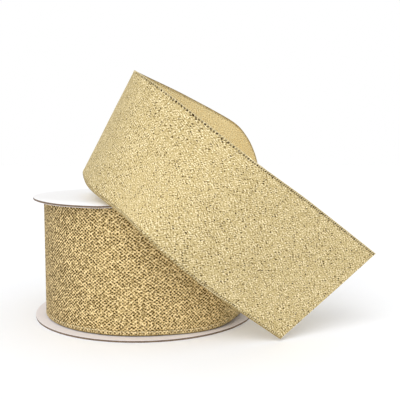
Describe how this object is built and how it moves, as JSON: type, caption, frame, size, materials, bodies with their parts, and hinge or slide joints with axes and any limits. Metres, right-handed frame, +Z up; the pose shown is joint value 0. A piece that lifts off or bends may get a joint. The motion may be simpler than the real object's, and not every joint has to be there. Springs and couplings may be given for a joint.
{
  "type": "ribbon spool",
  "caption": "Cardboard spool of wide wired ribbon standing on one flange, with a loose end looping over the top and falling in front.",
  "frame": {"origin": "on the spool's axis, at the surface the bottom flange stands on", "axes": "+Z up along the spool's axis, +X to the viewer's right with the loose end in front, -Y towards the side where the loose end falls"},
  "size_m": [0.1839, 0.1457, 0.1371],
  "materials": {
    "greyboard": "matt raw board edge",
    "white_facing_paper": "smooth white paper",
    "pale_facing_paper": "uncoated pale grey paper",
    "tube_paper": "wound kraft paper",
    "clear_tape": "thin satin film",
    "gold_ribbon": "woven metallic glitter",
    "selvedge_wire": "thread-covered wire",
    "wire_coil": "thread-covered wire between turns of cloth"
  },
  "bodies": {
    "spool": {"core_tube": "tube_paper", "top_flange_board": "greyboard", "top_flange_outer_paper": "white_facing_paper", "top_flange_inner_paper": "pale_facing_paper", "bottom_flange_board": "greyboard", "bottom_flange_outer_paper": "white_facing_paper", "bottom_flange_inner_paper": "pale_facing_paper", "top_hub_ring": "greyboard", "bottom_hub_ring": "greyboard", "core_tape": "clear_tape", "ribbon_roll": "gold_ribbon", "roll_upper_wire_coil": "wire_coil", "roll_lower_wire_coil": "wire_coil"},
    "loose_end": {"ribbon_tail": "gold_ribbon", "tail_upper_wire": "selvedge_wire", "tail_lower_wire": "selvedge_wire"}
  },
  "joints": [
    {"name": "unwind", "type": "hinge", "parent": "spool", "child": "loose_end", "pos_m": [0, 0, 0], "axis": [0, 0, 1], "continuous": true}
  ]
}
